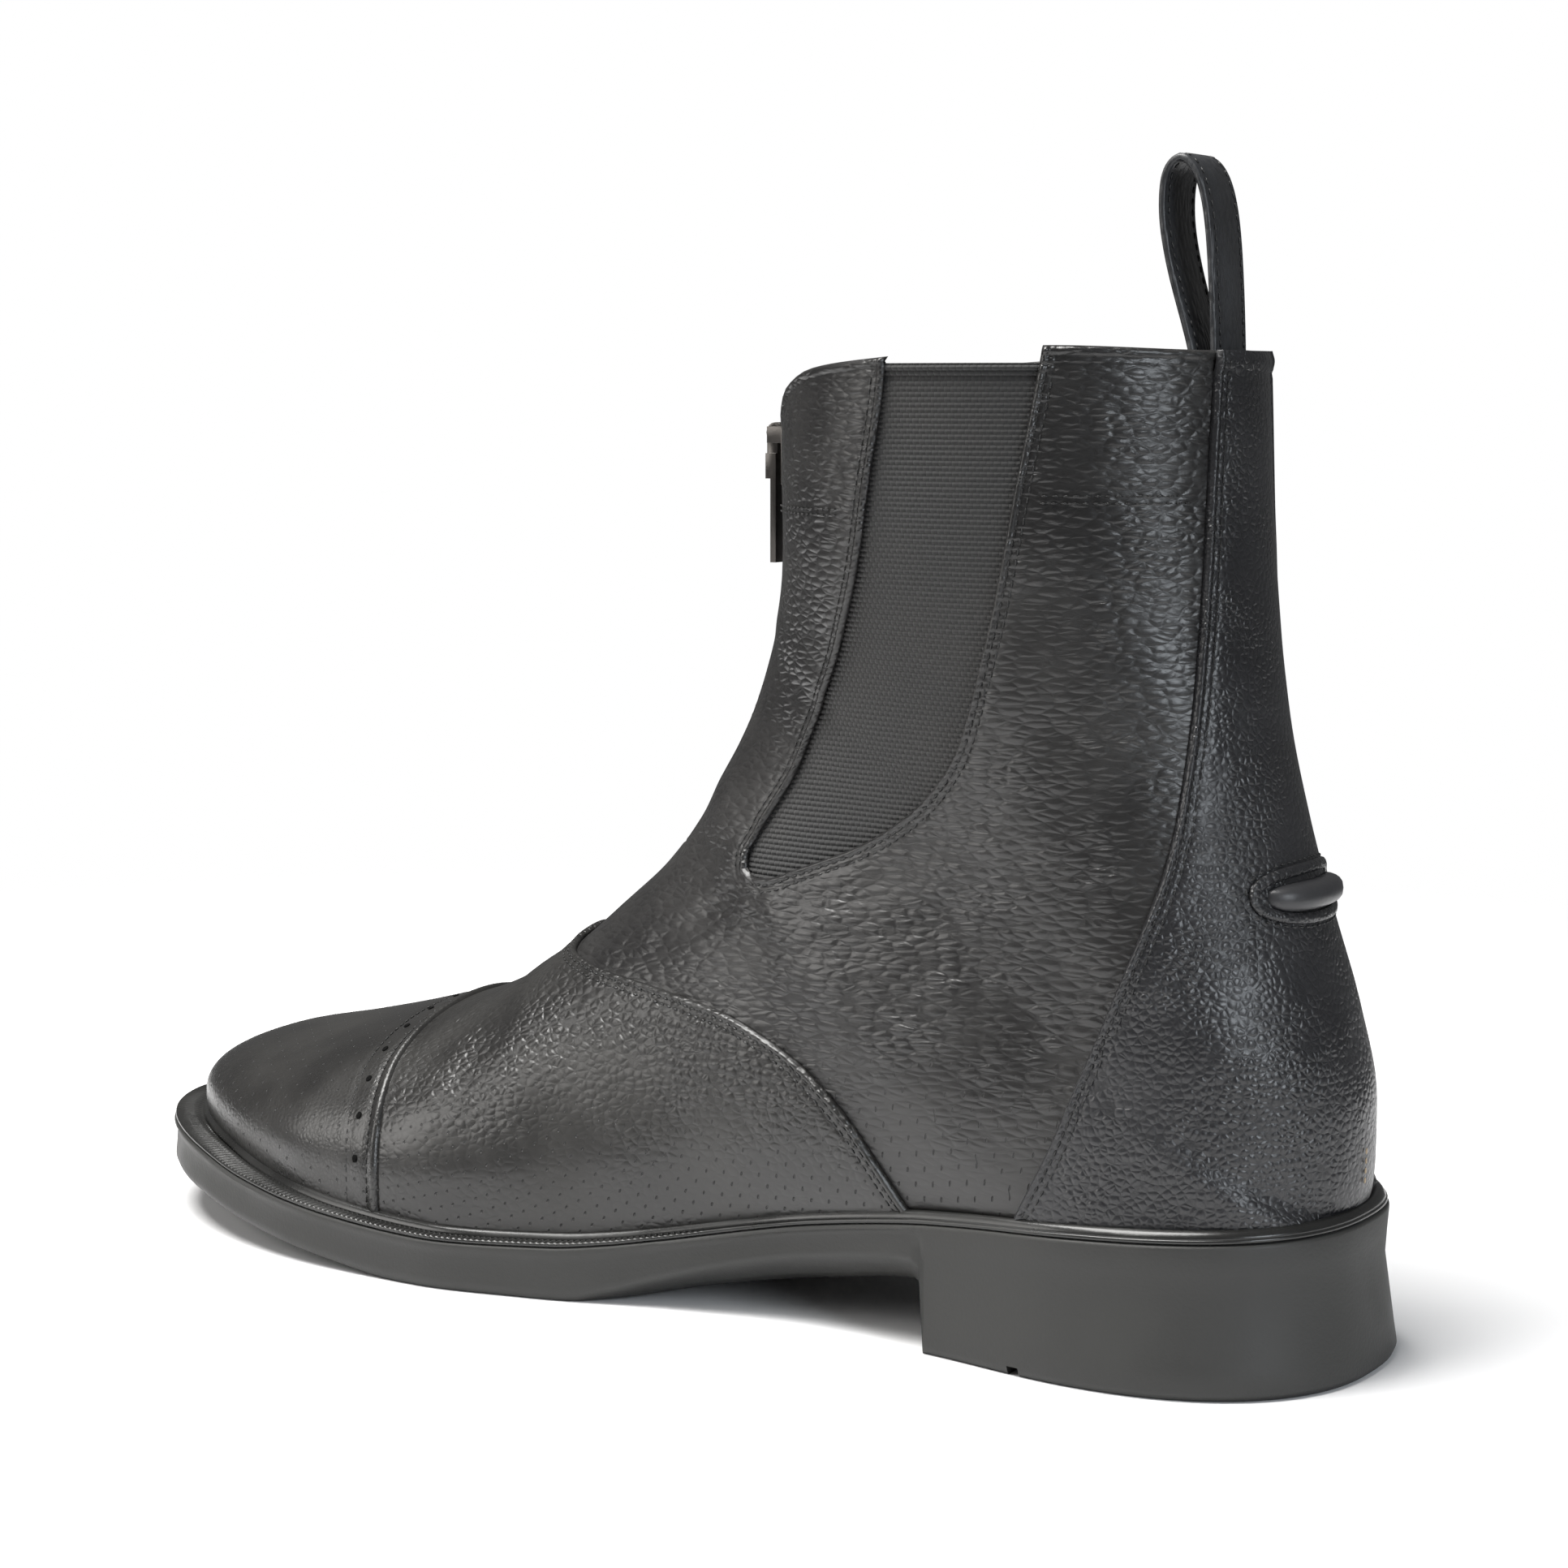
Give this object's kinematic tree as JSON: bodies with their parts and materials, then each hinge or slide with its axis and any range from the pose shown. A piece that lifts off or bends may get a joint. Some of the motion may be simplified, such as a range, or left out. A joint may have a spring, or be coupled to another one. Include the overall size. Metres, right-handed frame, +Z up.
{
  "type": "paddock boot",
  "caption": "Black leather paddock boot with a front zip, elastic side gussets, stitched toe cap, back panel, spur rest and pull loop.",
  "frame": {"origin": "on the floor plane, at the middle of the flat of the heel's tread", "axes": "+X towards the outer side of the foot, -Y towards the toe, +Z up"},
  "size_m": [0.1013, 0.3021, 0.2362],
  "materials": {
    "leather": "black grained leather with a low sheen",
    "elastic": "black ribbed elastic and zip tape",
    "sole_rubber": "matt moulded black rubber",
    "satin_rubber": "smooth satin black rubber",
    "lining": "matt black lining",
    "dark_metal": "dark bronze-black lacquer over metal"
  },
  "bodies": {
    "boot": {"upper": "leather", "toe_cap": "leather", "vamp": "leather", "back_panel": "leather", "pull_loop": "leather", "gusset_outer": "elastic", "gusset_inner": "elastic", "zip_tape": "elastic", "outsole": "sole_rubber", "welt": "sole_rubber", "spur_rest": "satin_rubber", "insole": "lining", "zip_teeth": "dark_metal", "zip_slider": "dark_metal"},
    "pull_tab": {"zip_pull": "dark_metal"}
  },
  "joints": [
    {"name": "pull_swing", "type": "hinge", "parent": "boot", "child": "pull_tab", "pos_m": [0.002, -0.0932, 0.1798], "axis": [-1, 0, 0], "range_deg": [0, 150]}
  ]
}
